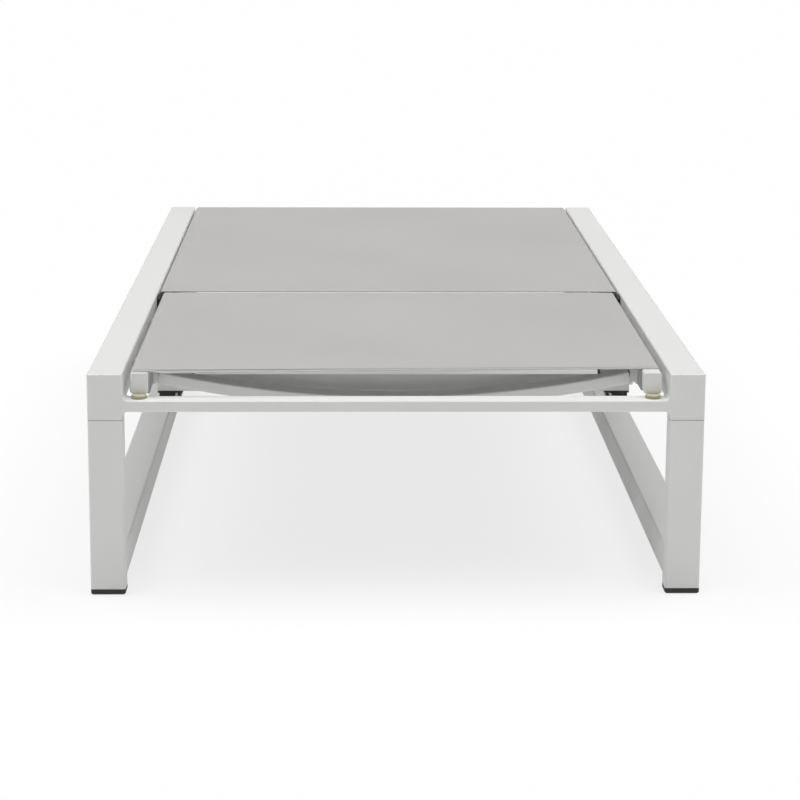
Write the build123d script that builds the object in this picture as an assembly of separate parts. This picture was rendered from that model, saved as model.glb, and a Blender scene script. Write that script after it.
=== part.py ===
from build123d import *
import os
from math import cos, sin, radians

os.makedirs("parts", exist_ok=True)

# A double chaise lounger: an aluminium box frame on sled sides, a fixed seat
# sling, and a back rest that lifts at the seam on a stay frame and two racks.
# X runs across, Y from the head end (negative) to the foot end, Z up.

# Whole frame
overall_width = 1230.0
overall_length = 2000.0
rail_top = 457.0

# Side rails, legs and floor rails: drawn aluminium tube
rail_width = 70.0
rail_height = 65.0
frame_wall = 2.5
frame_corner = 4.5
leg_depth = 40.0
floor_rail_base = 30.0
floor_rail_height = 66.0

# Corner castings with spigots into the rail and the leg
casting_height = 94.0
spigot_length = 38.0
spigot_clearance = 0.3
seam_chamfer = 0.8

# Nylon glides pressed into the legs
glide_height = 12.0
glide_plug = 16.0
glide_chamfer = 3.0

# Cross rails at the head and the foot, with rounded gussets at their ends
cross_depth = 42.0
cross_height = 23.0
cross_drop = 54.0
cross_wall = 2.5
cross_corner = 3.0
gusset_top = 12.0
gusset_base = 10.0

# Rubber bumpers on the cross rails
bumper_diameter = 31.0
bumper_height = 7.0
bumper_edge = 2.5
bumper_stem = 8.0
bumper_stem_length = 9.0
bumper_inset = 26.0
bumper_hole_clearance = 0.2

# Side tubes of the seat and of the back rest
tube_width = 36.0
tube_height = 42.0
tube_wall = 2.0
tube_corner = 4.0
cap_thickness = 3.0
cap_plug = 14.0
cap_clearance = 0.25
cap_edge = 1.2

# Where the side tubes stand
back_tube_gap = 13.0
back_tube_rise = 7.0
back_head_inset = 32.0
seat_tube_gap = 5.0
seat_tube_lift = 2.5
seat_foot_inset = 8.0
seam_place = 799.0
seam_gap = 4.0
seat_tube_setback = 11.0

# Bowed cross tubes and the hanger plates that carry them
bow_depth = 50.0
bow_height = 25.0
bow_wall = 2.0
bow_corner = 4.0
bow_sag = 53.0
bow_drop = 14.5
plate_thickness = 5.0
plate_cover = 28.0
plate_sweep = 90.0
plate_tail = 16.0
back_bow_inset = 200.0
hinge_bow_offset = 43.0
seat_bow_margin = 60.0

# Slings: woven mesh, wrapped round the side tubes in sleeves
sling_thickness = 1.6
sling_clearance = 0.3
sling_corner = 11.0
back_sling_inset = 53.0
back_sling_overlap = 14.0
sleeve_setback = 32.0
seat_sling_end = 4.0

# Batten in the head hem of the back rest
batten_end_gap = 103.0
batten_depth = 8.0
batten_height = 8.0
batten_inset = 3.0
batten_plug = 6.0

# Back rest hinge
hinge_bolt = 10.0
hinge_head = 17.0
hinge_head_height = 6.0
hinge_bush = 14.0
hinge_flange = 24.0
hinge_block_length = 46.0
hinge_block_thickness = 7.5
hinge_block_height = 38.0
hinge_block_corner = 6.0
hinge_nut_length = 14.0
running_clearance = 0.05
side_play = 0.3
bolt_hole_clearance = 0.2

# Stay frame: arm length between its pivots, slope of the rack line
stay_reach = 260.0
rack_slope = 10.3
stay_arm_width = 26.0
stay_arm_thickness = 10.0
stay_boss = 29.0
stay_pin = 8.0
stay_bush = 12.0
stay_washer = 20.0
stay_washer_thickness = 2.7
stay_nut = 13.0
stay_nut_height = 7.0
stay_bar_overhang = 7.0
stay_bar_height = 50.0
stay_bar_depth = 25.0
stay_bar_wall = 2.0
stay_bar_corner = 3.0
stay_bar_cap = 2.0

# Nylon feet that straddle the racks
foot_flange_width = 53.0
foot_flange_thickness = 3.0
foot_body_width = 45.0
foot_body_height = 30.0
foot_depth = 26.0
foot_cheek = 6.0
foot_corner = 2.0
foot_slot_play = 0.4
foot_pin_depth = 10.5
catch_pin = 8.0
catch_pin_reach = 15.0
foot_screw = 5.0
foot_screw_head = 9.0
foot_screw_head_height = 3.5
foot_screw_place = 24.0

# Steel racks and their brackets
rack_thickness = 4.0
rack_depth = 34.0
rack_tip_clearance = 0.3
rack_end = 26.0
rack_stop = 17.0
rack_stop_height = 14.0
rack_taper = 60.0
rack_end_depth = 14.0
notch_play = 0.6
notch_depth = 9.0
notch_tilt = 22.0
lean_angles = (12.0, 24.0, 36.0, 48.0, 60.0)
bracket_thickness = 5.0
bracket_width = 30.0
bracket_bend = 6.0
bracket_clear = 28.0
bracket_setback = 14.0
screw_size = 6.0
screw_head = 11.0
screw_head_height = 3.0
screw_inset = 13.0
screw_pitch = 15.0
bracket_cover = 7.5

# Bolts and spacers between the seat tubes and the side rails
seat_bolt = 8.0
seat_bolt_head = 13.0
seat_bolt_head_height = 5.0
seat_spacer = 24.0
seat_bolt_offset = 60.0

cut_margin = 1.0

# Places worked out from the sizes above
half_width = overall_width / 2
half_length = overall_length / 2
rail_x = half_width - rail_width / 2
rail_face = half_width - rail_width
leg_y = half_length - leg_depth / 2
rail_end = half_length - leg_depth
leg_top = rail_top - casting_height
cross_top = rail_top - cross_drop
back_base = cross_top + back_tube_rise
back_tube_z = back_base + tube_height / 2
back_tube_x = rail_face - back_tube_gap - tube_width / 2
seat_tube_x = rail_face - seat_tube_gap - tube_width / 2
seat_tube_z = back_tube_z + seat_tube_lift
back_tube_head = -half_length + back_head_inset
seam_y = seam_place - half_length
hinge_y = seam_y - seam_gap / 2 - back_sling_overlap
hinge_z = back_tube_z
seat_tube_head = seam_y + seam_gap / 2 + seat_tube_setback
seat_tube_foot = half_length - seat_foot_inset
back_plate_x = back_tube_x - tube_width / 2 - plate_thickness / 2
seat_plate_x = seat_tube_x - tube_width / 2 - plate_thickness / 2
pivot_y = hinge_y - stay_reach
pivot_z = hinge_z
slope = radians(rack_slope)
catch_travel = 2 * stay_reach * cos(slope)
catch_y = hinge_y - catch_travel * cos(slope)
catch_z = hinge_z - catch_travel * sin(slope)
foot_top = catch_z + foot_pin_depth + foot_flange_thickness
bar_z = foot_top + stay_bar_height / 2
arm_x = back_tube_x - tube_width / 2 - stay_washer_thickness - side_play - stay_arm_thickness / 2
bar_half = arm_x + stay_arm_thickness / 2 + stay_bar_overhang
batten_half = back_tube_x - batten_end_gap
foot_x = bar_half - foot_flange_width / 2
cheek_x = foot_x - foot_body_width / 2
rack_x = cheek_x + foot_cheek + foot_slot_play + rack_thickness / 2
seat_bow_rows = {
    "head": seat_tube_head + seat_bow_margin,
    "middle": (seat_tube_head + seat_tube_foot) / 2,
    "foot": seat_tube_foot - 2 * seat_bow_margin,
}
back_bow_rows = {
    "head": -half_length + back_bow_inset + bow_depth / 2,
    "hinge": hinge_y - hinge_bow_offset,
}
sides = (("left", -1), ("right", 1))


def save(shape, name):
    """Writes one sub-part."""
    export_step(shape, f"parts/{name}.step")


def both(shape):
    """A piece of the right-hand side and its mirror image, as one group."""
    return Compound([shape, mirror(shape, Plane.YZ)])


def side_of(shape, sign):
    """A right-hand piece as it is, or mirrored to the left."""
    return shape if sign > 0 else mirror(shape, Plane.YZ)


def ring(width, height, wall, corner):
    """The section of a rounded rectangular tube."""
    inner = max(corner - wall, wall / 4)
    hollow = RectangleRounded(width - 2 * wall, height - 2 * wall, inner)
    return RectangleRounded(width, height, corner) - hollow


def tube_y(width, height, wall, corner, start, end):
    """A rounded tube along Y, from start to end."""
    section = Plane.XZ * ring(width, height, wall, corner)
    return Pos(0, (start + end) / 2, 0) * extrude(section, (end - start) / 2, both=True)


def rod_x(diameter, start, end):
    """A round bar along X, from start to end."""
    return Pos((start + end) / 2, 0, 0) * Rot(0, 90, 0) * Cylinder(diameter / 2, end - start)


def rod_z(diameter, start, end):
    """A round bar along Z, from start to end."""
    return Pos(0, 0, (start + end) / 2) * Cylinder(diameter / 2, end - start)


def box(x0, x1, y0, y1, z0, z1):
    """A block between two opposite corners."""
    return Pos((x0 + x1) / 2, (y0 + y1) / 2, (z0 + z1) / 2) * Box(x1 - x0, y1 - y0, z1 - z0)


def side_plate(outline, x, thickness):
    """An outline drawn in Y and Z, made a plate that is centred on x."""
    return Pos(x, 0, 0) * extrude(Plane.YZ * outline, thickness / 2, both=True)


# Box frame: rails, castings, legs, floor rails and glides


def side_rail():
    """The right side rail, drilled on its inner wall for all that hangs on it."""
    rail = Pos(rail_x, 0, rail_top - rail_height / 2) * tube_y(
        rail_width, rail_height, frame_wall, frame_corner, -rail_end, rail_end)
    places = [(hinge_y, hinge_z, hinge_bush)]
    for y in seat_bolt_rows():
        places.append((y, seat_tube_z, seat_bolt + 2 * bolt_hole_clearance))
    for y in bracket_rows():
        for z in screw_rows():
            places.append((y, z, screw_size + 2 * bolt_hole_clearance))
    for y, z, diameter in places:
        hole = rod_x(diameter, rail_face - cut_margin, rail_face + frame_wall + cut_margin)
        rail = rail - Pos(0, y, z) * hole
    return rail


def floor_rail():
    """The right floor rail, welded between the two legs."""
    return Pos(rail_x, 0, floor_rail_base + floor_rail_height / 2) * tube_y(
        rail_width, floor_rail_height, frame_wall, frame_corner, -rail_end, rail_end)


def leg():
    """One leg on the Z axis, from the top of its glide to the casting."""
    body = extrude(ring(rail_width, leg_depth, frame_wall, frame_corner), leg_top - glide_height)
    top_edges = body.edges().filter_by(GeomType.LINE).group_by(Axis.Z)[-1]
    bore_x = rail_width / 2 - frame_wall / 2
    bore_y = leg_depth / 2 - frame_wall / 2
    outer = top_edges.filter_by(lambda e: abs(e.center().X) > bore_x or abs(e.center().Y) > bore_y)
    return Pos(0, 0, glide_height) * chamfer(outer, seam_chamfer)


def casting(inner_side):
    """One corner casting on the Z axis, its rail spigot pointing along +Y.

    A collar meets the rail and a pad on the inner side meets the cross rail, both without a step."""
    block = extrude(RectangleRounded(rail_width, leg_depth, frame_corner), casting_height)
    block = fillet(block.edges().group_by(Axis.Z)[-1], frame_corner / 2)
    block = chamfer(block.edges().group_by(Axis.Z)[0], seam_chamfer)
    collar = extrude(Plane.XZ * RectangleRounded(rail_width, rail_height, frame_corner), leg_depth / 4)
    block = block + Pos(0, leg_depth / 2, casting_height - rail_height / 2) * collar
    pad_low = cross_top - cross_height - gusset_base + cross_corner - leg_top
    pad_high = cross_top + gusset_top - cross_corner - leg_top
    pad_x = inner_side * (rail_width - frame_corner) / 2
    pad = Pos(pad_x, (frame_corner - leg_depth) / 2, (pad_low + pad_high) / 2) * Box(
        frame_corner, frame_corner, pad_high - pad_low)
    block = block + pad
    inset = 2 * (frame_wall + spigot_clearance)
    down = extrude(RectangleRounded(rail_width - inset, leg_depth - inset, frame_corner / 2), -spigot_length)
    along = Plane.XZ * RectangleRounded(rail_width - inset, rail_height - inset, frame_corner / 2)
    along = Pos(0, leg_depth / 2, casting_height - rail_height / 2) * extrude(along, -spigot_length)
    return Pos(0, 0, leg_top) * (block + down + along)


def glide():
    """One glide on the Z axis, with the plug that is pressed into the leg."""
    pad = extrude(RectangleRounded(rail_width, leg_depth, frame_corner), glide_height)
    pad = chamfer(pad.edges().group_by(Axis.Z)[0], glide_chamfer)
    inset = 2 * (frame_wall + spigot_clearance)
    plug = Pos(0, 0, glide_height) * extrude(
        RectangleRounded(rail_width - inset, leg_depth - inset, frame_corner / 2), glide_plug)
    return pad + plug


# Cross rails and bumpers


def cross_rail():
    """The head end's cross rail, a tube whose ends flare into rounded gussets."""
    high = cross_top
    low = cross_top - cross_height
    reach = rail_face
    edge = [
        Line((0, high), (reach - gusset_top, high)),
        CenterArc((reach - gusset_top, high + gusset_top), gusset_top, -90, 90),
        Line((reach, high + gusset_top), (reach, low - gusset_base)),
        CenterArc((reach - gusset_base, low - gusset_base), gusset_base, 0, 90),
        Line((reach - gusset_base, low), (0, low)),
    ]
    mirrored = [mirror(e, Plane.YZ) for e in edge]
    outline = make_face(Curve() + edge + mirrored)
    rail = Pos(0, cross_depth / 2 - half_length, 0) * extrude(Plane.XZ * outline, cross_depth / 2, both=True)
    long_edges = rail.edges().filter_by(lambda e: abs(e.center().X) < reach - frame_wall)
    middle = cross_depth / 2 - half_length
    rail = fillet(long_edges.filter_by(lambda e: abs(e.center().Y - middle) > cross_depth / 4), cross_corner)
    inside = RectangleRounded(cross_depth - 2 * cross_wall, cross_height - 2 * cross_wall, cross_wall)
    bore = extrude(Plane.YZ * inside, reach + cut_margin, both=True)
    return rail - Pos(0, middle, (high + low) / 2) * bore


def bumper_holes():
    """The two holes in the top of the head cross rail."""
    hole = rod_z(bumper_stem + 2 * bumper_hole_clearance, -cross_wall - cut_margin, cut_margin)
    return both(Pos(back_tube_x, -half_length + bumper_inset, cross_top) * hole)


def bumper():
    """One rubber bumper, with the stem that snaps into the cross rail."""
    disc = extrude(Circle(bumper_diameter / 2), bumper_height)
    disc = fillet(disc.edges().group_by(Axis.Z)[-1], bumper_edge)
    stem = rod_z(bumper_stem, -bumper_stem_length, 0)
    return Pos(back_tube_x, -half_length + bumper_inset, cross_top) * (disc + stem)


# Side tubes, their caps, bows and hanger plates


def back_tube():
    """The right side tube of the back rest, rounded about the hinge."""
    start = back_tube_head + cap_thickness
    end = hinge_y + tube_height / 2
    tube = tube_y(tube_width, tube_height, tube_wall, tube_corner, start, end)
    tube = Pos(back_tube_x, 0, back_tube_z) * tube
    profile = Pos((back_tube_head + hinge_y) / 2, hinge_z) * Rectangle(hinge_y - back_tube_head, tube_height)
    profile = profile + Pos(hinge_y, hinge_z) * Circle(tube_height / 2)
    tube = tube & side_plate(profile, back_tube_x, tube_width)
    out = back_tube_x + tube_width
    inner = back_tube_x - tube_width
    tube = tube - Pos(0, hinge_y, hinge_z) * rod_x(hinge_bush, inner, out)
    return tube - Pos(0, pivot_y, pivot_z) * rod_x(stay_pin, inner, out)


def seat_tube():
    """The right side tube of the seat, drilled for its bolts."""
    start = seat_tube_head + cap_thickness
    end = seat_tube_foot - cap_thickness
    tube = tube_y(tube_width, tube_height, tube_wall, tube_corner, start, end)
    tube = Pos(seat_tube_x, 0, seat_tube_z) * tube
    hole = rod_x(seat_bolt + 2 * bolt_hole_clearance, seat_tube_x - tube_width, seat_tube_x + tube_width)
    for y in seat_bolt_rows():
        tube = tube - Pos(0, y, seat_tube_z) * hole
    return tube


def tube_cap(x, z, end, inward):
    """The plug that closes a side tube's end; inward is the sense of Y into the tube."""
    face = RectangleRounded(tube_width, tube_height, tube_corner)
    lid = extrude(Plane.XZ * face, cap_thickness / 2, both=True)
    lid = Pos(0, end + inward * cap_thickness / 2, 0) * lid
    front = lid.edges().group_by(Axis.Y)[0 if inward > 0 else -1]
    lid = fillet(front, cap_edge)
    inset = 2 * (tube_wall + cap_clearance)
    plug_face = RectangleRounded(tube_width - inset, tube_height - inset, tube_corner - tube_wall)
    plug = extrude(Plane.XZ * plug_face, cap_plug / 2, both=True)
    plug = Pos(0, end + inward * (cap_thickness + cap_plug / 2), 0) * plug
    return Pos(x, 0, z) * (lid + plug)


def bow(half_span, end_top, y):
    """A bowed cross tube: a rounded tube swept along a shallow arc."""
    ends_z = end_top - bow_height / 2
    path = ThreePointArc((-half_span, y, ends_z), (0, y, ends_z - bow_sag), (half_span, y, ends_z))
    across = Plane(path @ 0, x_dir=(0, 1, 0), z_dir=path % 0)
    section = across * ring(bow_depth, bow_height, bow_wall, bow_corner)
    swept = sweep(section, path=path)
    between = box(-half_span, half_span, y - bow_depth, y + bow_depth,
                  ends_z - bow_sag - bow_depth, end_top + bow_depth)
    return swept & between


def hanger_plate(x, tube_base, bow_top, bow_y, sweep_side):
    """The plate on a side tube's inner face that carries one end of a bow."""
    low = bow_top - bow_height - bow_wall
    high = tube_base + plate_cover
    near = bow_y - bow_depth / 2 - bow_wall
    far = bow_y + bow_depth / 2 + bow_wall
    if sweep_side == 0:
        outline = Polyline((near, high), (near, low), (far, low), (far, high), close=True)
        return side_plate(make_face(outline), x, plate_thickness)
    start = near - plate_sweep
    middle = (near - plate_sweep / 2, tube_base - (tube_base - low) / 4)
    arc = ThreePointArc((start, tube_base), middle, (near, low))
    edge = [
        Line((start, high), (start, tube_base)),
        arc,
        Line((near, low), (far, low)),
        Line((far, low), (far + plate_tail, tube_base)),
        Line((far + plate_tail, tube_base), (far + plate_tail, high)),
        Line((far + plate_tail, high), (start, high)),
    ]
    return side_plate(make_face(Curve() + edge), x, plate_thickness)


# Slings and batten


def sling(tube_x, tube_z, head, foot, sleeve_head, sleeve_foot):
    """A sheet over two side tubes, wrapped down and under each of them."""
    grow = 2 * (sling_clearance + sling_thickness)
    top = tube_z + tube_height / 2 + sling_clearance
    across = tube_x + tube_width / 2 + sling_clearance + sling_thickness
    sheet = Pos(0, (head + foot) / 2) * Rectangle(2 * across, foot - head)
    sheet = Pos(0, 0, top) * extrude(fillet(sheet.vertices(), sling_corner), sling_thickness)
    wrap_corner = tube_corner + sling_clearance + sling_thickness
    wrap = ring(tube_width + grow, tube_height + grow, sling_thickness, wrap_corner)
    wrap = wrap - Pos(-tube_width / 2, 0) * Rectangle(tube_corner + grow, tube_height + 2 * grow)
    wrap = Pos(tube_x, (sleeve_head + sleeve_foot) / 2, tube_z) * extrude(
        Plane.XZ * wrap, (sleeve_foot - sleeve_head) / 2, both=True)
    crop = box(-2 * across, 2 * across, head, foot, tube_z - tube_height, top + sling_thickness)
    return (sheet + wrap + mirror(wrap, Plane.YZ)) & crop


def batten():
    """The stiff strip that keeps the back rest's head hem straight."""
    top = back_tube_z + tube_height / 2
    y = -half_length + back_sling_inset + batten_inset + batten_depth / 2
    half = batten_half - batten_plug
    return box(-half, half, y - batten_depth / 2, y + batten_depth / 2, top - batten_height, top)


def batten_end():
    """The dark plug on the right end of the batten."""
    top = back_tube_z + tube_height / 2
    y = -half_length + back_sling_inset + batten_inset + batten_depth / 2
    half = batten_half
    plug = box(half - batten_plug, half, y - batten_depth / 2, y + batten_depth / 2, top - batten_height, top)
    return fillet(plug.edges().group_by(Axis.X)[-1], batten_depth / 4)


# Back rest hinge


def hinge_block_piece():
    """The nylon block that spaces the hinge from the side rail."""
    outline = RectangleRounded(hinge_block_length, hinge_block_height, hinge_block_corner)
    outline = Pos(hinge_y, hinge_z) * (outline - Circle(hinge_bolt / 2 + bolt_hole_clearance))
    return side_plate(outline, rail_face - hinge_block_thickness / 2, hinge_block_thickness)


def hinge_bush_piece():
    """The flanged bush in the back tube's end, which turns on the bolt."""
    inner = back_tube_x - tube_width / 2
    outer = back_tube_x + tube_width / 2
    flange_end = rail_face - hinge_block_thickness - side_play
    bush = rod_x(hinge_bush, inner, outer) + rod_x(hinge_flange, outer, flange_end)
    return Pos(0, hinge_y, hinge_z) * (bush - rod_x(
        hinge_bolt + 2 * running_clearance, inner - cut_margin, flange_end + cut_margin))


def hinge_bolt_piece():
    """The hinge bolt, its low head against the back tube's inner face."""
    seat = back_tube_x - tube_width / 2 - side_play
    head = rod_x(hinge_head, seat - hinge_head_height, seat)
    head = fillet(head.edges().group_by(Axis.X)[0], hinge_head_height / 4)
    socket = extrude(Plane.YZ * RegularPolygon(hinge_head / 4, 6), hinge_head_height / 2)
    head = head - Pos(seat - hinge_head_height, 0, 0) * socket
    return Pos(0, hinge_y, hinge_z) * (head + rod_x(hinge_bolt, seat, rail_face + hinge_nut_length))


def hinge_nut_piece():
    """The rivet nut in the side rail's inner wall."""
    sleeve = rod_x(hinge_bush, rail_face, rail_face + hinge_nut_length)
    return Pos(0, hinge_y, hinge_z) * (sleeve - rod_x(
        hinge_bolt, rail_face - cut_margin, rail_face + hinge_nut_length + cut_margin))


# Stay frame


def stay_arm():
    """The right arm: a flat bar from the pivot to the back of the cross bar."""
    bar_back = catch_y + stay_bar_depth / 2
    reach = Vector(bar_back - pivot_y, bar_z - pivot_z)
    tilt = Vector(1, 0).get_signed_angle(reach, Vector(0, 0, 1))
    length = reach.length + stay_arm_width
    blade = Pos(pivot_y, pivot_z) * Rot(0, 0, tilt) * Pos(length / 2, 0) * Rectangle(length, stay_arm_width)
    blade = blade + Pos(pivot_y, pivot_z) * Circle(stay_boss / 2)
    blade = blade - Pos(pivot_y, pivot_z) * Circle(stay_bush / 2)
    behind = Pos(bar_back - stay_reach / 2, bar_z) * Rectangle(stay_reach, stay_reach)
    return side_plate(blade - behind, arm_x, stay_arm_thickness)


def stay_bar():
    """The straight bar across the stay frame, standing on edge."""
    section = Plane.YZ * ring(stay_bar_depth, stay_bar_height, stay_bar_wall, stay_bar_corner)
    half = bar_half - stay_bar_cap
    return Pos(0, catch_y, bar_z) * extrude(section, half, both=True)


def stay_bar_end():
    """The thin lid on the right end of the cross bar."""
    lid = extrude(Plane.YZ * RectangleRounded(stay_bar_depth, stay_bar_height, stay_bar_corner), stay_bar_cap)
    return Pos(bar_half - stay_bar_cap, catch_y, bar_z) * lid


def foot():
    """The right nylon foot: a flange under the bar, and two cheeks that straddle the rack."""
    under = foot_top - foot_flange_thickness
    flange = box(foot_x - foot_flange_width / 2, foot_x + foot_flange_width / 2,
                 catch_y - foot_depth / 2, catch_y + foot_depth / 2, under, foot_top)
    flange = fillet(flange.edges().filter_by(Axis.Z), foot_corner)
    body = box(cheek_x, cheek_x + foot_body_width, catch_y - foot_depth / 2, catch_y + foot_depth / 2,
               under - foot_body_height, under)
    body = fillet(body.edges().filter_by(Axis.X).group_by(Axis.Z)[0], foot_corner)
    slot_half = rack_thickness / 2 + foot_slot_play
    slot = box(rack_x - slot_half, rack_x + slot_half, catch_y - foot_depth, catch_y + foot_depth,
               under - 2 * foot_body_height, under)
    bore = rod_x(catch_pin, cheek_x - cut_margin, rack_x + slot_half + catch_pin_reach)
    bore = Pos(0, catch_y, catch_z) * bore
    screw = rod_z(foot_screw, under - foot_body_height, foot_top + cut_margin)
    sink = rod_z(foot_screw_head, under - foot_body_height - cut_margin, under - foot_body_height / 2)
    return flange + body - slot - bore - Pos(rack_x + foot_screw_place, catch_y, 0) * (screw + sink)


def foot_screw_piece():
    """The screw that holds the right foot under the bar."""
    under = foot_top - foot_flange_thickness
    seat = under - foot_body_height / 2
    shank = rod_z(foot_screw, seat, foot_top)
    head = rod_z(foot_screw_head, seat - foot_screw_head_height, seat)
    return Pos(rack_x + foot_screw_place, catch_y, 0) * (shank + head)


def catch_pin_piece():
    """The pin across the right foot's slot, which drops into the rack."""
    slot_half = rack_thickness / 2 + foot_slot_play
    return Pos(0, catch_y, catch_z) * rod_x(catch_pin, cheek_x, rack_x + slot_half + catch_pin_reach)


def stay_bush_piece():
    """The bush in the arm's eye."""
    half = stay_arm_thickness / 2
    bore = rod_x(stay_pin + 2 * running_clearance, arm_x - 2 * half, arm_x + 2 * half)
    return Pos(0, pivot_y, pivot_z) * (rod_x(stay_bush, arm_x - half, arm_x + half) - bore)


def stay_pin_piece():
    """The pivot pin through the back tube and the arm."""
    nut_end = arm_x - stay_arm_thickness / 2 - side_play - stay_nut_height
    return Pos(0, pivot_y, pivot_z) * rod_x(stay_pin, nut_end, back_tube_x + tube_width / 2)


def stay_washer_piece():
    """The washer between the back tube and the arm."""
    face = back_tube_x - tube_width / 2
    disc = rod_x(stay_washer, face - stay_washer_thickness, face)
    return Pos(0, pivot_y, pivot_z) * (disc - rod_x(stay_pin, face - stay_washer, face + cut_margin))


def stay_nut_piece():
    """The lock nut on the pivot pin's inner end."""
    start = arm_x - stay_arm_thickness / 2 - side_play - stay_nut_height
    hexagon = RegularPolygon(stay_nut / 2, 6, major_radius=False) - Circle(stay_pin / 2)
    nut = extrude(Plane.YZ * hexagon, stay_nut_height)
    return Pos(start, pivot_y, pivot_z) * nut


# Racks and brackets


def rack():
    """The right rack, drawn along the straight line that the catch pin runs on."""
    tip = -(catch_pin / 2 + rack_tip_clearance)
    last = 2 * stay_reach * cos(slope + radians(lean_angles[-1]))
    start = last - rack_end
    stop = catch_travel + rack_stop
    end = stop + rack_end
    outline = Polyline(
        (start, tip), (stop, tip), (stop, rack_stop_height), (end, rack_stop_height),
        (end, -rack_end_depth), (end - rack_taper, -rack_depth), (start, -rack_depth), close=True)
    plate = fillet(make_face(outline).vertices().group_by(Axis.X)[-1], rack_stop / 3)
    radius = catch_pin / 2 + notch_play
    for lean in lean_angles:
        u = 2 * stay_reach * cos(slope + radians(lean))
        mouth = Pos(0, notch_depth) * Rectangle(2 * radius, 2 * notch_depth)
        plate = plate - Pos(u, -notch_depth) * Rot(0, 0, notch_tilt) * (Circle(radius) + mouth)
    along = Plane(origin=(rack_x, hinge_y, hinge_z), x_dir=(0, -cos(slope), -sin(slope)), z_dir=(-1, 0, 0))
    return extrude(along * plate, rack_thickness / 2, both=True)


def bracket_rows():
    """The two places along Y where the racks are held."""
    last = 2 * stay_reach * cos(slope + radians(lean_angles[-1]))
    head = hinge_y - (catch_travel + rack_stop + rack_end / 2) * cos(slope)
    return (head, hinge_y - last * cos(slope) + bracket_setback)


def screw_rows():
    """The heights of the two screws in each bracket."""
    low = rail_top - rail_height + screw_inset
    return (low, low + screw_pitch)


def bracket(y, leg_z):
    """A bent flat bar from the side rail's inner face down and in to the rack."""
    high = screw_rows()[-1] + bracket_cover
    rack_face = rack_x + rack_thickness / 2
    t = bracket_thickness
    outline = Polyline(
        (rail_face, high), (rail_face, leg_z), (rack_face, leg_z), (rack_face, leg_z + t),
        (rail_face - t, leg_z + t), (rail_face - t, high), close=True)
    face = make_face(outline)
    bend = [v for v in face.vertices() if abs(v.X - rail_face) < t / 4 and v.Y < leg_z + t / 4]
    face = fillet(bend, bracket_bend)
    inner = [v for v in face.vertices() if abs(v.X - rail_face + t) < t / 4 and abs(v.Y - leg_z - t) < t / 4]
    face = fillet(inner, bracket_bend - t)
    piece = Pos(0, y, 0) * extrude(Plane.XZ * face, bracket_width / 2, both=True)
    hole = rod_x(screw_size + 2 * bolt_hole_clearance, rail_face - 2 * t, rail_face + t)
    for z in screw_rows():
        piece = piece - Pos(0, y, z) * hole
    return piece


def brackets():
    """The right side's two brackets, at the heights that the rack has there."""
    head_y, foot_y = bracket_rows()
    head_z = hinge_z - (hinge_y - head_y) * sin(slope) / cos(slope) - rack_end_depth + bracket_thickness
    foot_z = hinge_z - (hinge_y - foot_y) * sin(slope) / cos(slope) - bracket_clear - bracket_thickness
    return [bracket(head_y, head_z), bracket(foot_y, foot_z)]


def bracket_screw(y, z):
    """One screw from a bracket into the side rail's inner wall."""
    seat = rail_face - bracket_thickness
    head = rod_x(screw_head, seat - screw_head_height, seat)
    head = fillet(head.edges().group_by(Axis.X)[0], screw_head_height / 3)
    return Pos(0, y, z) * (head + rod_x(screw_size, seat, rail_face + 2 * frame_wall))


# Seat fixings


def seat_bolt_rows():
    """The places along Y of the bolts between a seat tube and its rail, one beside each bow."""
    return [seat_bow_rows["head"] + seat_bolt_offset, seat_bow_rows["middle"] - seat_bolt_offset,
            seat_bow_rows["foot"] - seat_bolt_offset]


def seat_bolt_piece(y):
    """One bolt through a seat tube and a spacer into the side rail."""
    seat = seat_tube_x - tube_width / 2
    head = rod_x(seat_bolt_head, seat - seat_bolt_head_height, seat)
    head = fillet(head.edges().group_by(Axis.X)[0], seat_bolt_head_height / 4)
    return Pos(0, y, seat_tube_z) * (head + rod_x(seat_bolt, seat, rail_face + 2 * frame_wall))


def seat_spacer_piece(y):
    """One spacer between a seat tube and the side rail."""
    face = seat_tube_x + tube_width / 2
    disc = rod_x(seat_spacer, face, rail_face)
    hole = rod_x(seat_bolt + 2 * bolt_hole_clearance, face - cut_margin, rail_face + cut_margin)
    return Pos(0, y, seat_tube_z) * (disc - hole)


# Write the box frame
for side, sign in sides:
    save(side_of(side_rail(), sign), f"side_rail_{side}")
    save(side_of(floor_rail(), sign), f"floor_rail_{side}")
    save(Pos(sign * rail_x, -leg_y, 0) * leg(), f"leg_head_{side}")
    save(Pos(sign * rail_x, leg_y, 0) * leg(), f"leg_foot_{side}")
    save(Pos(sign * rail_x, -leg_y, 0) * casting(-sign), f"corner_head_{side}")
    save(Pos(sign * rail_x, leg_y, 0) * mirror(casting(-sign), Plane.XZ), f"corner_foot_{side}")
glides = [Pos(x * rail_x, y * leg_y, 0) * glide() for x in (-1, 1) for y in (-1, 1)]
save(Compound(glides), "glides")

# Write the cross rails and bumpers
save(cross_rail() - bumper_holes(), "cross_rail_head")
save(mirror(cross_rail(), Plane.XZ), "cross_rail_foot")
save(both(bumper()), "bumpers_head")

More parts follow.
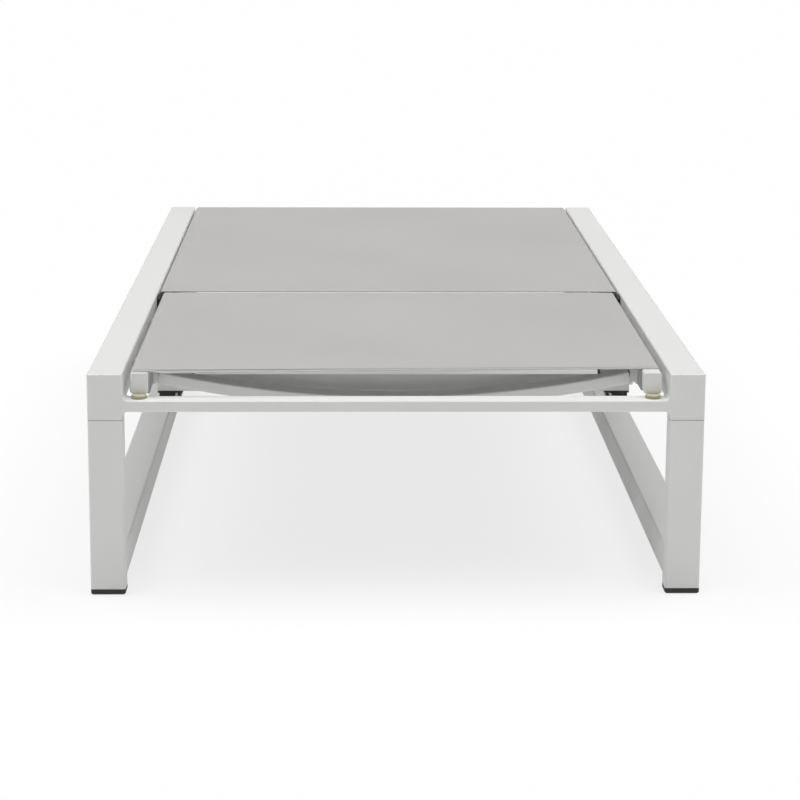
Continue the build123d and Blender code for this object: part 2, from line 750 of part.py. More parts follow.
# Write the seat
seat_bow_top = seat_tube_z - tube_height / 2 + bow_drop - bow_height / 2
for side, sign in sides:
    save(side_of(seat_tube(), sign), f"seat_tube_{side}")
seat_caps = [tube_cap(seat_tube_x, seat_tube_z, seat_tube_head, 1),
             tube_cap(seat_tube_x, seat_tube_z, seat_tube_foot, -1)]
save(Compound(seat_caps + [mirror(c, Plane.YZ) for c in seat_caps]), "seat_tube_caps")
seat_plates = []
for row, y in seat_bow_rows.items():
    save(bow(seat_plate_x - plate_thickness / 2, seat_bow_top, y), f"seat_bow_{row}")
    seat_plates.append(hanger_plate(seat_plate_x, seat_tube_z - tube_height / 2, seat_bow_top, y, 0))
save(Compound(seat_plates + [mirror(p, Plane.YZ) for p in seat_plates]), "seat_hanger_plates")
seat_cloth = sling(seat_tube_x, seat_tube_z, seam_y + seam_gap / 2, half_length - seat_sling_end,
                   seat_tube_head, seat_tube_foot - cap_thickness)
for y in seat_bolt_rows():
    for sign in (-1, 1):
        gap_x = seat_tube_x + tube_width / 2
        hole = rod_x(seat_spacer + 2 * sling_clearance, gap_x - cut_margin, rail_face)
        seat_cloth = seat_cloth - Pos(0, y, seat_tube_z) * side_of(hole, sign)
save(seat_cloth, "seat_sling")
save(Compound([side_of(seat_bolt_piece(y), s) for y in seat_bolt_rows() for s in (-1, 1)]), "seat_bolts")
save(Compound([side_of(seat_spacer_piece(y), s) for y in seat_bolt_rows() for s in (-1, 1)]), "seat_spacers")

# Write the back rest
back_bow_top = back_base + bow_drop - bow_height / 2
for side, sign in sides:
    save(side_of(back_tube(), sign), f"back_tube_{side}")
save(both(tube_cap(back_tube_x, back_tube_z, back_tube_head, 1)), "back_tube_caps")
for row, y in back_bow_rows.items():
    save(bow(back_plate_x - plate_thickness / 2, back_bow_top, y), f"back_bow_{row}")
back_plates = [hanger_plate(back_plate_x, back_base, back_bow_top, back_bow_rows["head"], 1),
               hanger_plate(back_plate_x, back_base, back_bow_top, back_bow_rows["hinge"], 0)]
save(Compound(back_plates + [mirror(p, Plane.YZ) for p in back_plates]), "back_hanger_plates")
save(sling(back_tube_x, back_tube_z, -half_length + back_sling_inset, seam_y - seam_gap / 2,
           -half_length + back_sling_inset, hinge_y - sleeve_setback), "back_sling")
save(batten(), "head_batten")
save(both(batten_end()), "batten_plugs")

# Write the hinge
save(both(hinge_block_piece()), "hinge_blocks")
save(both(hinge_bush_piece()), "hinge_bushes")
save(both(hinge_bolt_piece()), "hinge_bolts")
save(both(hinge_nut_piece()), "hinge_rivet_nuts")

# Write the stay frame
for side, sign in sides:
    save(side_of(stay_arm(), sign), f"stay_arm_{side}")
    save(side_of(foot(), sign), f"stay_foot_{side}")
save(stay_bar(), "stay_cross_bar")
save(both(stay_bar_end()), "stay_bar_caps")
save(both(foot_screw_piece()), "foot_screws")
save(both(catch_pin_piece()), "catch_pins")
save(both(stay_bush_piece()), "stay_bushes")
save(both(stay_pin_piece()), "stay_pivot_pins")
save(both(stay_washer_piece()), "stay_washers")
save(both(stay_nut_piece()), "stay_pivot_nuts")

# Write the racks
for side, sign in sides:
    save(side_of(rack(), sign), f"rack_{side}")
save(Compound([side_of(b, s) for b in brackets() for s in (-1, 1)]), "rack_brackets")
rack_screws = [bracket_screw(y, z) for y in bracket_rows() for z in screw_rows()]
save(Compound([side_of(s, sign) for s in rack_screws for sign in (-1, 1)]), "rack_screws")
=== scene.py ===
import bpy, bmesh, math
from mathutils import Matrix, Vector


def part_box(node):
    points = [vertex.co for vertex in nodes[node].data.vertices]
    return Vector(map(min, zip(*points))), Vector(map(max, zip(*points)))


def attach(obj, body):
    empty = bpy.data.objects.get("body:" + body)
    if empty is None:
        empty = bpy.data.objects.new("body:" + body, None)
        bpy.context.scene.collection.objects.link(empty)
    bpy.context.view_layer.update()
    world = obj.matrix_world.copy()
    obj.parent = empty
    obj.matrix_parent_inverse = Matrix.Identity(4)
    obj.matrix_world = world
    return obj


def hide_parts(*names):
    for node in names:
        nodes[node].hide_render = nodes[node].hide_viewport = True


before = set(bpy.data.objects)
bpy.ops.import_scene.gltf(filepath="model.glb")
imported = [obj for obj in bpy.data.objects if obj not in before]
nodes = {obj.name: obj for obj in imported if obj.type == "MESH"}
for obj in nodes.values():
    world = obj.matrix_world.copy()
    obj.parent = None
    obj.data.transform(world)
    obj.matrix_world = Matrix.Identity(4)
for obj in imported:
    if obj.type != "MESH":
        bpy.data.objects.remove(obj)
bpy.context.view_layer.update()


# The photographer's camera stands off the head end, a little above the slings, and looks slightly down.
# A long lens with a small vertical shift keeps the legs nearly parallel, as the photograph has them.
camera_place = (-0.1009, -4.930, 1.4552)
camera_yaw = math.radians(1.073)
camera_pitch = math.radians(10.026)
camera_roll = math.radians(0.251)
camera_lens = 91.81
camera_sensor = 36.0
camera_shift = (0.02, -0.22)
camera_data = bpy.data.cameras.new("camera")
camera_data.lens = camera_lens
camera_data.sensor_width = camera_sensor
camera_data.shift_x, camera_data.shift_y = camera_shift
camera = bpy.data.objects.new("camera", camera_data)
camera.matrix_world = (Matrix.Translation(camera_place) @ Matrix.Rotation(-camera_yaw, 4, "Z")
                       @ Matrix.Rotation(math.pi / 2 - camera_pitch, 4, "X")
                       @ Matrix.Rotation(camera_roll, 4, "Z"))
bpy.context.scene.collection.objects.link(camera)
bpy.context.scene.camera = camera


# Rails and legs are drawn aluminium tube, welded up and powder coated in a fine matt white: a thin baked skin
# with a faint orange peel, a little tone variation, and duller patches where it has been handled.
# A thin shadow line marks the joint of each leg and its casting.
MM = 0.001
white = (0.847, 0.85, 0.831)
coat_shine = 0.4
coat_matt = (0.32, 0.42)
rail_grain = 620.0
peel_depth = 0.35 * MM
peel_strength = 0.35
handled_spots = 3.1
handled_range = (0.45, 0.85)
handled_shade = 0.955
speck_finer = 2.3
speck_share = 0.25
joint_line = 0.7 * MM
joint_shadow = 0.75
joint_shade = 0.35
joint_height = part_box("leg_head_left")[1].z


class Field:
    """A shader socket that takes part in sums, differences, products and comparisons."""

    def __init__(self, shop, socket):
        self.shop = shop
        self.socket = socket

    def _math(self, operation, other, swap=False):
        pair = (other, self) if swap else (self, other)
        return self.shop.node("ShaderNodeMath", {"operation": operation}, {0: pair[0], 1: pair[1]})

    def __add__(self, other): return self._math("ADD", other)
    def __radd__(self, other): return self._math("ADD", other, True)
    def __sub__(self, other): return self._math("SUBTRACT", other)
    def __rsub__(self, other): return self._math("SUBTRACT", other, True)
    def __mul__(self, other): return self._math("MULTIPLY", other)
    def __rmul__(self, other): return self._math("MULTIPLY", other, True)
    def __lt__(self, other): return self._math("LESS_THAN", other)
    def __gt__(self, other): return self._math("GREATER_THAN", other)


class Finish:
    """A material whose nodes are added one call at a time."""

    def __init__(self, name, color, roughness, metallic=0.0, specular=0.5):
        self.material = bpy.data.materials.new(name)
        self.material.use_nodes = True
        self.tree = self.material.node_tree
        self.surface = self.tree.nodes["Principled BSDF"]
        self.surface.inputs["Base Color"].default_value = (*color, 1.0)
        self.surface.inputs["Roughness"].default_value = roughness
        self.surface.inputs["Metallic"].default_value = metallic
        self.surface.inputs["Specular IOR Level"].default_value = specular
        self.place = self.node("ShaderNodeTexCoord", {}, {}, "Object")

    def node(self, kind, settings, values, output=0):
        """Adds one node: its settings first, then the values or links of its sockets."""
        made = self.tree.nodes.new(kind)
        for name, value in settings.items():
            setattr(made, name, value)
        for key, value in values.items():
            if isinstance(value, Field):
                self.tree.links.new(value.socket, made.inputs[key])
            else:
                made.inputs[key].default_value = value
        return Field(self, made.outputs[output])

    def feed(self, socket, value):
        """Links a field to one socket of the surface."""
        self.tree.links.new(value.socket, self.surface.inputs[socket])

    def along(self, place, axis):
        """One of a place's three measures, 0 for X, 1 for Y and 2 for Z."""
        return self.node("ShaderNodeSeparateXYZ", {}, {0: place}, axis)

    def size(self, value):
        """A number without its sign."""
        return self.node("ShaderNodeMath", {"operation": "ABSOLUTE"}, {0: value})

    def larger(self, first, second):
        """The larger of two numbers."""
        return self.node("ShaderNodeMath", {"operation": "MAXIMUM"}, {0: first, 1: second})

    def stretch(self, place, scales):
        """A place with each of its measures scaled."""
        return self.node("ShaderNodeVectorMath", {"operation": "MULTIPLY"}, {0: place, 1: scales})

    def noise(self, scale, detail=2.0, roughness=0.5, place=None):
        """Soft random variation about one half."""
        return self.node("ShaderNodeTexNoise", {}, {"Vector": place or self.place, "Scale": scale,
                                                    "Detail": detail, "Roughness": roughness})

    def mix(self, share, low, high):
        """A colour between two colours."""
        low = low if isinstance(low, Field) else (*low, 1.0)
        high = high if isinstance(high, Field) else (*high, 1.0)
        return self.node("ShaderNodeMix", {"data_type": "RGBA"}, {0: share, 6: low, 7: high}, 2)

    def remap(self, value, given, wanted=(0.0, 1.0)):
        """A number moved from one range to another and held inside it."""
        return self.node("ShaderNodeMapRange", {"clamp": True}, {
            "Value": value, "From Min": given[0], "From Max": given[1],
            "To Min": wanted[0], "To Max": wanted[1]})

    def bump(self, height, depth, strength):
        """Feeds a height field to the surface's normal."""
        self.feed("Normal", self.node("ShaderNodeBump", {}, {
            "Height": height, "Distance": depth, "Strength": strength}))


def shade(color, share):
    """A colour that keeps only a share of its light."""
    return tuple(share * c for c in color)


def powder_coat(name, color, grain, joint=None):
    """Matt powder coat with grain bumps per metre, and a shadow line at the height of a joint."""
    coat = Finish(name, color, roughness=0.4, specular=coat_shine)
    peel = coat.noise(grain, detail=3.0, roughness=0.55)
    handled = coat.noise(handled_spots)
    speck = coat.noise(grain * speck_finer, detail=1.0)
    spots = coat.remap(handled + speck_share * speck, handled_range)
    skin = coat.mix(spots, color, shade(color, handled_shade))
    if joint is not None:
        near = coat.size(coat.along(coat.place, 2) - joint) < joint_line
        skin = coat.mix(near * joint_shadow, skin, shade(color, joint_shade))
    coat.feed("Base Color", skin)
    coat.feed("Roughness", coat.remap(handled, (0.3, 0.7), coat_matt))
    coat.bump(peel, peel_depth, peel_strength)
    return coat.material


def dress(names, material):
    """Gives CAD nodes a finish."""
    for name in names:
        mesh = nodes[name].data
        mesh.materials.clear()
        mesh.materials.append(material)


dress([n for n in nodes if n.startswith(("side_rail", "floor_rail", "leg_", "cross_rail"))],
      powder_coat("powder_coat_white", white, rail_grain, joint_height))


# The four corners are aluminium castings with spigots into rail and leg, blasted and coated with the rails.
# Their skin is a touch grainier and darker than that of the drawn tube.
casting_grain = 480.0
casting_shade = 0.99
dress([n for n in nodes if n.startswith("corner_")],
      powder_coat("powder_coat_casting", shade(white, casting_shade), casting_grain, joint_height))


# Black nylon is moulded: glides pressed into the legs, hinge blocks, bushes, spacers and the stay's feet.
# It is matt, with a fine spark-eroded grain and grey scuffs where it slides.
black = (0.022, 0.022, 0.023)
black_scuff = (0.06, 0.06, 0.06)
black_grain = 1500.0
scuff_scale = 46.0
scuff_range = (0.56, 0.72)
least_rough = 0.42
rough_spread = 0.2
rough_scale = 160.0
eroded_depth = 0.2 * MM
eroded_strength = 0.4


def moulded(name, color, scuff_color, grain):
    """Moulded plastic with an eroded grain and soft scuffs."""
    skin = Finish(name, color, roughness=0.5)
    scuff = skin.remap(skin.noise(scuff_scale, detail=4.0, roughness=0.65), scuff_range)
    skin.feed("Base Color", skin.mix(scuff, color, scuff_color))
    skin.feed("Roughness", least_rough + rough_spread * skin.noise(rough_scale))
    skin.bump(skin.noise(grain, roughness=0.6), eroded_depth, eroded_strength)
    return skin.material


dress(["glides", "hinge_blocks", "hinge_bushes", "seat_spacers", "stay_foot_left", "stay_foot_right",
       "stay_bushes", "stay_washers", "batten_plugs"],
      moulded("nylon_black", black, black_scuff, black_grain))


# The two bumpers are olive rubber buttons whose stems snap into the head cross rail. The back rest's tubes
# come down on them, and their tops are a little dusty.
olive = (0.44, 0.41, 0.28)
olive_dust = (0.62, 0.59, 0.47)
dust_depth = 1.5 * MM
dust_scale = 220.0
rubber_rough = 0.75
rubber_shine = 0.3
rubber_grain = 900.0
rubber_depth = 0.2 * MM
bumper_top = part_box("bumpers_head")[1].z


def rubber(name, color, dust, dusty):
    """Rubber with a pale bloom that comes in between two heights."""
    skin = Finish(name, color, rubber_rough, specular=rubber_shine)
    bloom = skin.remap(skin.along(skin.place, 2), dusty) * skin.noise(dust_scale, detail=3.0)
    skin.feed("Base Color", skin.mix(bloom, color, dust))
    skin.bump(skin.noise(rubber_grain), rubber_depth, 0.5)
    return skin.material


dress(["bumpers_head"], rubber("rubber_olive", olive, olive_dust, (bumper_top - dust_depth, bumper_top)))


# Side tubes, bows, hanger plates, stay frame, racks and batten are aluminium too, welded or screwed up below the
# slings. They are coated in the same white as the rails, with a slightly finer peel.
inner_grain = 700.0
inner_shade = 0.98
inner_starts = ("back_tube", "seat_tube", "back_bow", "seat_bow", "back_hanger", "seat_hanger",
                "stay_arm", "stay_cross", "rack_", "head_batten")
dress([n for n in nodes if n.startswith(inner_starts) and n != "rack_screws"],
      powder_coat("powder_coat_inner", shade(white, inner_shade), inner_grain))


# White nylon caps are pushed into the ends of the stay's cross bar.
# They are moulded as the black ones are, with a satin skin.
cap_white = (0.80, 0.80, 0.78)
cap_scuff = (0.70, 0.70, 0.68)
cap_grain = 1400.0
dress(["stay_bar_caps"], moulded("nylon_white", cap_white, cap_scuff, cap_grain))


# Bolts, nuts, screws and pins are stainless steel, turned and left bare.
# Fine lines run across the lounger, the way its bolts and pivot pins lie, with a few faint stains.
steel = (0.56, 0.56, 0.55)
steel_smooth = 0.22
steel_spread = 0.3
turned_lines = (30.0, 900.0, 900.0)
turned_depth = 0.1 * MM
stain_scale = 25.0
stain_range = (0.5, 0.75)
stain_most = 0.5
stain_shade = 0.7


def bare_steel(name, color, lines_scale):
    """Bare steel with fine lines, stretched along one axis."""
    metal = Finish(name, color, roughness=0.35, metallic=1.0)
    lines = metal.noise(1.0, detail=3.0, roughness=0.6, place=metal.stretch(metal.place, lines_scale))
    metal.feed("Roughness", steel_smooth + steel_spread * lines)
    stain = metal.remap(metal.noise(stain_scale, detail=3.0), stain_range, (0.0, stain_most))
    metal.feed("Base Color", metal.mix(stain, color, shade(color, stain_shade)))
    metal.bump(lines, turned_depth, 0.25)
    return metal.material


dress(["hinge_bolts", "hinge_rivet_nuts", "foot_screws", "catch_pins", "stay_pivot_pins",
       "stay_pivot_nuts", "rack_screws", "seat_bolts"], bare_steel("steel_turned", steel, turned_lines))


# The seat sling is one sheet of coated polyester mesh in a plain weave, folded into a sleeve round each side tube
# and sewn down, with holes for the spacers and hanger plates. Its ends are hemmed, its corners are rounded, and it
# sags a little between the tubes.
mesh_grey = (0.600, 0.592, 0.582)
mesh_gap = (0.28, 0.276, 0.268)
yarn_pitch = 1.25 * MM
yarn_over = 0.25
yarn_depth = 0.3 * MM
pinhole = (0.55, 0.86)
pinhole_dark = 0.8
mesh_shine = 0.35
mesh_rough = 0.52
mesh_spread = 0.2
fade_scale = 2.4
fade_range = (0.4, 0.9)
fade_shade = 0.93
slub_scale = 260.0
slub_share = 0.3
sling_wall = 1.2 * MM
sling_rise = 0.6 * MM
sling_squares = (56, 40)
tube_ease = 1.3 * MM
fold_radius = 7.0 * MM
under_radius = 5.0 * MM
return_radius = 2.0 * MM
fold_steps = 4
return_steps = 3
slot_half = 13.0 * MM
inner_lip = 442.0 * MM
seam_drop = 1.5 * MM
seam_flap = 11.0 * MM
hem_radius = 0.7 * MM
hem_steps = 6
hem_width = 38.0 * MM
hem_row = 32.0 * MM
corner_round = 7.0 * MM
corner_angles = (18, 36, 54, 72)
fold_share = 4.4 * MM
fold_side = 520.0 * MM
sag_depth = 3 * MM
sag_patch = 25 * MM
sling_smooth = math.radians(40)
SNAP = 0.01 * MM

seat_tube = (504 * MM, 433.5 * MM)
seat_ends = (-188 * MM, 989 * MM)
seat_edges = (-199 * MM, 996 * MM)
seat_plates = (-128 * MM, 402 * MM, 872 * MM)
seat_spacers = (-68 * MM, 342 * MM, 812 * MM)
plate_half = 29 * MM
spacer_half = 13 * MM
seat_corner = 541.3 * MM
seat_middle = 400 * MM
seat_sag_reach = 480 * MM


def woven_mesh():
    """Coated mesh: a plain weave with dark pinholes, drawn on the sheet's own UV map in metres."""
    cloth = Finish("woven_mesh", mesh_grey, roughness=0.6, specular=mesh_shine)
    flat = cloth.node("ShaderNodeTexCoord", {}, {}, "UV")
    u = cloth.along(flat, 0)
    v = cloth.along(flat, 1)

    def wave(value):
        return cloth.node("ShaderNodeMath", {"operation": "SINE"}, {0: value * (math.pi / yarn_pitch)})

    over = wave(u * 0.5 + v * 0.5) * wave(u * 0.5 - v * 0.5)
    yarn = cloth.larger(cloth.size(wave(u)) + yarn_over * over, cloth.size(wave(v)) - yarn_over * over)
    hole = cloth.remap(yarn, pinhole, (1.0, 0.0))
    fade = cloth.noise(fade_scale, place=flat)
    slub = cloth.noise(slub_scale, place=flat)
    faded = cloth.remap(fade + slub_share * slub, fade_range)
    light = cloth.mix(faded, mesh_grey, shade(mesh_grey, fade_shade))
    cloth.feed("Base Color", cloth.mix(pinhole_dark * hole, light, mesh_gap))
    cloth.feed("Roughness", mesh_rough + mesh_spread * hole)
    cloth.bump(yarn - hole, yarn_depth, 0.5)
    return cloth.material


def deselect():
    """Leaves nothing selected and nothing in edit mode."""
    if bpy.context.object and bpy.context.object.mode == "EDIT":
        bpy.ops.object.mode_set(mode="OBJECT")
    bpy.ops.object.select_all(action="DESELECT")


def take(piece):
    """Makes one piece the only one selected."""
    deselect()
    piece.select_set(True)
    bpy.context.view_layer.objects.active = piece


def settle(piece):
    """Puts a piece's place into its mesh and leaves its object at the origin."""
    take(piece)
    bpy.ops.object.transform_apply(location=True, rotation=True, scale=True)


def apply_modifiers(piece):
    """Applies a piece's modifiers in their order."""
    take(piece)
    for modifier in list(piece.modifiers):
        bpy.ops.object.modifier_apply(modifier=modifier.name)


def pick(piece, kind, test):
    """Selects the edges or faces of a piece in edit mode whose every corner passes a test."""
    bpy.ops.mesh.select_mode(type=kind)
    bpy.ops.mesh.select_all(action="DESELECT")
    mesh = bmesh.from_edit_mesh(piece.data)
    for part in (mesh.edges if kind == "EDGE" else mesh.faces):
        if all(test(corner.co) for corner in part.verts):
            part.select_set(True)
    bmesh.update_edit_mesh(piece.data)


def pull(x=0.0, y=0.0, z=0.0):
    """Extrudes the selected edges by a step."""
    bpy.ops.mesh.extrude_region_move(TRANSFORM_OT_translate={"value": (x, y, z)})


def roll(radius, start, end, steps, along="X", sign=1):
    """Extrudes the selected edges round an arc, its angles measured from the sideways axis."""
    for step in range(steps):
        a = math.radians(start + (end - start) * step / steps)
        b = math.radians(start + (end - start) * (step + 1) / steps)
        side = sign * radius * (math.cos(b) - math.cos(a))
        rise = radius * (math.sin(b) - math.sin(a))
        pull(x=side if along == "X" else 0.0, y=side if along == "Y" else 0.0, z=rise)


def cut(point, normal, off=False):
    """Cuts the whole mesh by an upright plane, and with off deletes what lies beyond it."""
    bpy.ops.mesh.select_all(action="SELECT")
    bpy.ops.mesh.bisect(plane_co=(*point, 0.0), plane_no=(*normal, 0.0), clear_outer=off)


def open_up(piece, test):
    """Deletes the faces whose corners all pass a test."""
    pick(piece, "FACE", test)
    bpy.ops.mesh.delete(type="FACE")


def stretches(places, half):
    """The stretches that reach by half to both sides of some places."""
    return [(place - half, place + half) for place in places]


def sew_sleeves(name, node, tube, ends, plate_gaps, spacer_holes):
    """Folds a sheet round two side tubes into sleeves, and gives it with the height of its top.

    tube is the side tube's inner face and middle height, and ends are the sleeves' two ends. plate_gaps are
    cut out of the sleeves' inner wall and spacer_holes out of their outer wall."""
    low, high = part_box(node)
    inner_face, tube_middle = tube
    top = high.z - sling_wall / 2 + sling_rise
    base = low.z + sling_wall / 2
    side = high.x - sling_wall / 2
    inside = inner_face - tube_ease
    flat = side - fold_radius
    deselect()
    bpy.ops.mesh.primitive_grid_add(x_subdivisions=sling_squares[0], y_subdivisions=sling_squares[1], size=1.0,
                                    location=(0, (ends[0] + ends[1]) / 2, top))
    cloth = bpy.context.object
    cloth.name = name
    cloth.scale = (2 * flat, ends[1] - ends[0], 1.0)
    settle(cloth)
    bpy.ops.object.mode_set(mode="EDIT")
    for sign in (-1, 1):
        pick(cloth, "EDGE", lambda p: sign * p.x > flat - SNAP)
        roll(fold_radius, 90, 0, fold_steps, sign=sign)
        pull(z=tube_middle + slot_half - top + fold_radius)
        pull(z=-2 * slot_half)
        pull(z=base + under_radius - tube_middle + slot_half)
        roll(under_radius, 0, -90, return_steps, sign=sign)
        pull(x=-sign * (side - under_radius - inside - return_radius))
        roll(return_radius, -90, -180, return_steps, sign=sign)
        pull(z=inner_lip - base - return_radius)
        pull(z=top - seam_drop - return_radius - inner_lip)
        roll(return_radius, 0, 90, return_steps, sign=sign)
        pull(x=-sign * seam_flap)
    for place in sorted({y for gap in plate_gaps + spacer_holes for y in gap}):
        cut((0.0, place), (0.0, 1.0))
    for gap in plate_gaps:
        open_up(cloth, lambda p: gap[0] - SNAP < p.y < gap[1] + SNAP and p.z < inner_lip + SNAP
                and inside - SNAP < abs(p.x) < inside + return_radius + SNAP)
    for hole in spacer_holes:
        open_up(cloth, lambda p: hole[0] - SNAP < p.y < hole[1] + SNAP and abs(p.x) > side - SNAP
                and abs(p.z - tube_middle) < slot_half + SNAP)
    return cloth, top


def fold_hem(cloth, top, test, sign, reach, width):
    """Runs the top sheet and half its side folds on past the sleeves by a reach, and folds its end under."""
    pick(cloth, "EDGE", lambda p: test(p) and p.z > top - (fold_share if abs(p.x) > fold_side else SNAP))
    if reach > 0:
        pull(y=sign * reach)
    roll(hem_radius, 90, -90, hem_steps, along="Y", sign=sign)
    pull(y=-sign * width)


def round_corner(x, y, sign):
    """Rounds a plan corner by cuts along an arc's tangents; the sign is -1 at the head and 1 at the foot."""
    side = math.copysign(1.0, x)
    for angle in map(math.radians, corner_angles):
        way = (side * math.cos(angle), sign * math.sin(angle))
        centre = (x - side * corner_round, y - sign * corner_round)
        cut([c + corner_round * w for c, w in zip(centre, way)], way, off=True)


def sag(cloth, y, reach):
    """Lets the sheet down round a place on its middle line."""
    pick(cloth, "FACE", lambda p: abs(p.x) < sag_patch and abs(p.y - y) < sag_patch)
    bpy.ops.transform.translate(value=(0, 0, -sag_depth), use_proportional_edit=True,
                                proportional_edit_falloff="SMOOTH", proportional_size=reach)


def finish_cloth(cloth, node, body):
    """Gives a sling its thickness, UVs, material and place in the frame."""
    bpy.ops.mesh.select_mode(type="FACE")
    bpy.ops.mesh.select_all(action="SELECT")
    bpy.ops.mesh.remove_doubles(threshold=0.1 * SNAP)
    bpy.ops.mesh.normals_make_consistent(inside=False)
    bpy.ops.uv.cube_project(cube_size=1.0, correct_aspect=False)
    bpy.ops.object.mode_set(mode="OBJECT")
    wall = cloth.modifiers.new("wall", "SOLIDIFY")
    wall.thickness = sling_wall
    wall.offset = 0.0
    apply_modifiers(cloth)
    bpy.ops.object.shade_smooth_by_angle(angle=sling_smooth)
    cloth.data.materials.append(woven)
    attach(cloth, body)
    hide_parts(node)


woven = woven_mesh()
seat_cloth, seat_top = sew_sleeves("seat_sling_cloth", "seat_sling", seat_tube, seat_ends,
                                   stretches(seat_plates, plate_half), stretches(seat_spacers, spacer_half))
for sign, end, edge in ((-1, seat_ends[0], seat_edges[0]), (1, seat_ends[1], seat_edges[1])):
    fold_hem(seat_cloth, seat_top, lambda p: abs(p.y - end) < SNAP, sign,
             abs(edge - end) - hem_radius, hem_width)
    for x in (-seat_corner, seat_corner):
        round_corner(x, edge, sign)
sag(seat_cloth, seat_middle, seat_sag_reach)
finish_cloth(seat_cloth, "seat_sling", "root")


# The seat sling's seams are rows of lockstitch in polyester thread: two pale rows hold each sleeve's flap, and
# one row each hem. Every stitch is a short arched rod whose ends sink into the cloth.
pale_grey = (0.66, 0.65, 0.635)
thread_smooth = 0.45
thread_spread = 0.25
ply_scale = (2600.0, 2600.0, 900.0)
ply_range = (0.3, 0.7)
ply_shade = 0.7
ply_depth = 0.1 * MM
stitch_pitch = 4.5 * MM
stitch_length = 2.2 * MM
stitch_sides = 6
stitch_knee = 0.3 * stitch_length
stitch_tip = 0.45 * stitch_length
stitch_taper = 0.6
stitch_smooth = math.radians(50)
sleeve_stitch = 0.26 * MM
sleeve_rows = (7.6 * MM, 4.1 * MM)
seat_row_ends = (-184 * MM, 981 * MM)
seat_row_half = 524 * MM


def sewing_thread(name, color):
    """Polyester thread of two plies, laid across the stitch."""
    thread = Finish(name, color, roughness=0.55)
    plies = thread.noise(1.0, place=thread.stretch(thread.place, ply_scale))
    thread.feed("Base Color", thread.mix(thread.remap(plies, ply_range), color, shade(color, ply_shade)))
    thread.feed("Roughness", thread_smooth + thread_spread * plies)
    thread.bump(plies, ply_depth, 0.5)
    return thread.material


def one_stitch(radius):
    """One arched stitch at the origin, along X."""
    deselect()
    bpy.ops.mesh.primitive_cylinder_add(vertices=stitch_sides, radius=radius, depth=stitch_length,
                                        end_fill_type="NGON", rotation=(0, math.pi / 2, 0))
    stitch = bpy.context.object
    settle(stitch)
    bpy.ops.object.mode_set(mode="EDIT")
    for place in (-stitch_knee, stitch_knee):
        cut((place, 0.0), (1.0, 0.0))
    pick(stitch, "EDGE", lambda p: abs(p.x) > stitch_tip)
    bpy.ops.transform.resize(value=(1.0, stitch_taper, stitch_taper))
    bpy.ops.transform.translate(value=(0, 0, -radius))
    bpy.ops.object.mode_set(mode="OBJECT")
    return stitch


def stitch_rows(name, body, radius, thread, rows):
    """Sews rows of stitches, each row from its start to its end."""
    stitch = one_stitch(radius)
    made = []
    for start, end in rows:
        start, end = Vector(start), Vector(end)
        take(stitch)
        bpy.ops.object.duplicate()
        row = bpy.context.object
        row.rotation_euler = (0, 0, math.atan2(end.y - start.y, end.x - start.x))
        settle(row)
        row.location = start
        settle(row)
        run = row.modifiers.new("run", "ARRAY")
        run.fit_type = "FIXED_COUNT"
        run.count = int((end - start).length / stitch_pitch)
        run.use_relative_offset = False
        run.use_constant_offset = True
        run.constant_offset_displace = stitch_pitch * (end - start).normalized()
        apply_modifiers(row)
        made.append(row)
    take(stitch)
    bpy.ops.object.delete()
    deselect()
    for row in made:
        row.select_set(True)
    bpy.context.view_layer.objects.active = made[0]
    bpy.ops.object.join()
    seam = bpy.context.object
    seam.name = name
    bpy.ops.object.shade_smooth_by_angle(angle=stitch_smooth)
    seam.data.materials.append(thread)
    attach(seam, body)


def sleeve_seams(tube, ends, face):
    """The rows beside both side tubes, from one end to the other."""
    places = [tube[0] - inset for inset in sleeve_rows]
    return [((x, ends[0], face), (x, ends[1], face)) for x in [-p for p in reversed(places)] + places]


def cross_seam(half, y, face):
    """One row straight across the sling."""
    return (-half, y, face), (half, y, face)


pale_thread = sewing_thread("thread_pale", pale_grey)
seat_face = seat_top + sling_wall / 2
stitch_rows("seat_sleeve_stitching", "root", sleeve_stitch, pale_thread,
            sleeve_seams(seat_tube, seat_row_ends, seat_face))
stitch_rows("seat_hem_stitching", "root", sleeve_stitch, pale_thread,
            [cross_seam(seat_row_half, y, seat_face) for y in (seat_edges[0] + hem_row, seat_edges[1] - hem_row)])


# The back sling is cut and sewn as the seat sling is, with sleeves round the back rest's tubes. Its foot hem laps
# over the seam to the seat. Its head hem is sewn on a slight skew, reaches further over the batten at the left
# than
# at the right, and its lip hangs a little. Its stitches get a nearly black thread colour, which is painted shade:
# the colour stands for the shadows along the stitch row.
hem_shadow_grey = (0.07, 0.068, 0.064)
back_tube = (496 * MM, 431 * MM)
back_ends = (-970 * MM, -249 * MM)
back_edge = -203 * MM
back_plates = [(-894 * MM, -730 * MM), (-493 * MM, -461 * MM), (-290 * MM, -250 * MM)]
back_corner = 532.9 * MM
back_middle = -590 * MM
back_sag_reach = 330 * MM
back_row_ends = (-944 * MM, -253 * MM)
back_row_half = 520 * MM
head_left = (-534 * MM, -959 * MM)
head_right = (534 * MM, -935 * MM)
head_hem_row = 6.0 * MM
head_hem_width = 15.0 * MM
head_row_inset = 12 * MM
hem_stitch = 1.0 * MM
lip_bend = math.radians(20)
lip_line = -946.5 * MM
lip_half = 485 * MM
lip_depth = 4 * MM

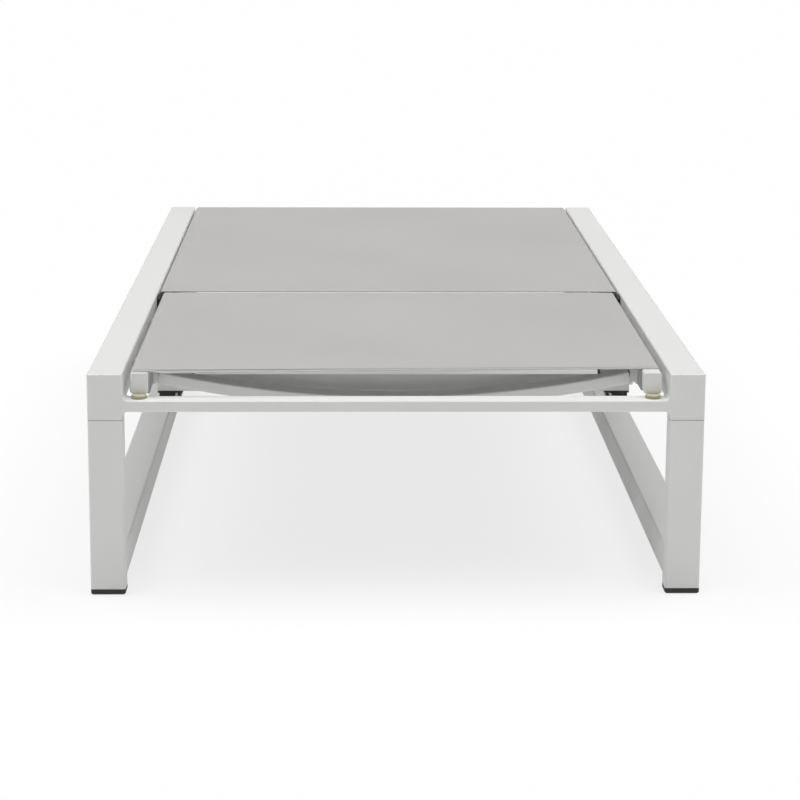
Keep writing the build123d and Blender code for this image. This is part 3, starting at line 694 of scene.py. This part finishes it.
back_cloth, back_top = sew_sleeves("back_sling_cloth", "back_sling", back_tube, back_ends, back_plates, [])
skew = (head_right[1] - head_left[1]) / (head_right[0] - head_left[0])
cut(head_left, (skew, -1.0), off=True)
fold_hem(back_cloth, back_top, lambda p: abs(p.y - head_left[1] - skew * (p.x - head_left[0])) < SNAP,
         -1, 0.0, head_hem_width)
pick(back_cloth, "FACE", lambda p: p.y < lip_line and abs(p.x) < lip_half and p.z > back_top - lip_depth)
bpy.ops.transform.rotate(value=-lip_bend, orient_axis="X", center_override=(0.0, lip_line, back_top))
fold_hem(back_cloth, back_top, lambda p: abs(p.y - back_ends[1]) < SNAP, 1,
         back_edge - back_ends[1] - hem_radius, hem_width)
for x in (-back_corner, back_corner):
    round_corner(x, back_edge, 1)
sag(back_cloth, back_middle, back_sag_reach)
finish_cloth(back_cloth, "back_sling", "backrest")

back_face = back_top + sling_wall / 2
stitch_rows("back_sleeve_stitching", "backrest", sleeve_stitch, pale_thread,
            sleeve_seams(back_tube, back_row_ends, back_face)
            + [cross_seam(back_row_half, back_edge - hem_row, back_face)])
# The head hem's thread colour is painted shade: nearly black, for the shadows along the stitch row.
stitch_rows("back_hem_stitching", "backrest", hem_stitch, sewing_thread("thread_painted_shade", hem_shadow_grey),
            [((head_left[0] + head_row_inset, head_left[1] + head_hem_row, back_face),
              (head_right[0] - head_row_inset, head_right[1] + head_hem_row, back_face))])


# A plain pale studio floor keeps the lounger's soft shadow. Part of its light towards the camera is its own,
# so that it reads as white as the photograph's background away from the lounger.
floor_size = 60.0
floor_drop = 0.5 * MM
floor_grey = (0.87, 0.87, 0.87)
own_light = 0.77
deselect()
bpy.ops.mesh.primitive_plane_add(size=floor_size, location=(0, floor_size / 4, -floor_drop))
floor = bpy.context.object
floor.name = "floor"
ground = Finish("studio_floor", floor_grey, roughness=1.0, specular=0.0)
seen, mirrored, through = [ground.node("ShaderNodeLightPath", {}, {}, f"Is {kind} Ray")
                           for kind in ("Camera", "Glossy", "Transmission")]
glow = ground.node("ShaderNodeEmission", {}, {"Color": (1, 1, 1, 1), "Strength": 1.0})
blend = ground.node("ShaderNodeMixShader", {}, {
    0: own_light * ground.larger(seen, ground.larger(mirrored, through)),
    1: Field(ground, ground.surface.outputs[0]), 2: glow})
ground.tree.links.new(blend.socket, ground.tree.nodes["Material Output"].inputs["Surface"])
floor.data.materials.append(ground.material)


# Soft studio light comes from all round, with two wide lamps high at the sides.
# To the camera the world itself is plain white.
world_light = 0.15
side_light = 1.68
side_height = math.radians(66)
side_turn = math.radians(92)
side_width = math.radians(50)
world = bpy.data.worlds.new("studio")
bpy.context.scene.world = world
world.use_nodes = True
sky = world.node_tree.nodes["Background"]
sky.inputs["Color"].default_value = (1, 1, 1, 1)
path = world.node_tree.nodes.new("ShaderNodeLightPath")
strength = world.node_tree.nodes.new("ShaderNodeMapRange")
strength.inputs["To Min"].default_value = world_light
strength.inputs["To Max"].default_value = 1.0
world.node_tree.links.new(path.outputs["Is Camera Ray"], strength.inputs["Value"])
world.node_tree.links.new(strength.outputs[0], sky.inputs["Strength"])
for sign in (-1, 1):
    lamp_data = bpy.data.lights.new("side_lamp", "SUN")
    lamp_data.energy = side_light
    lamp_data.angle = side_width
    lamp = bpy.data.objects.new("side_lamp", lamp_data)
    lamp.rotation_euler = (math.pi / 2 - side_height, 0, sign * side_turn)
    bpy.context.scene.collection.objects.link(lamp)
bpy.context.scene.view_settings.view_transform = "Standard"
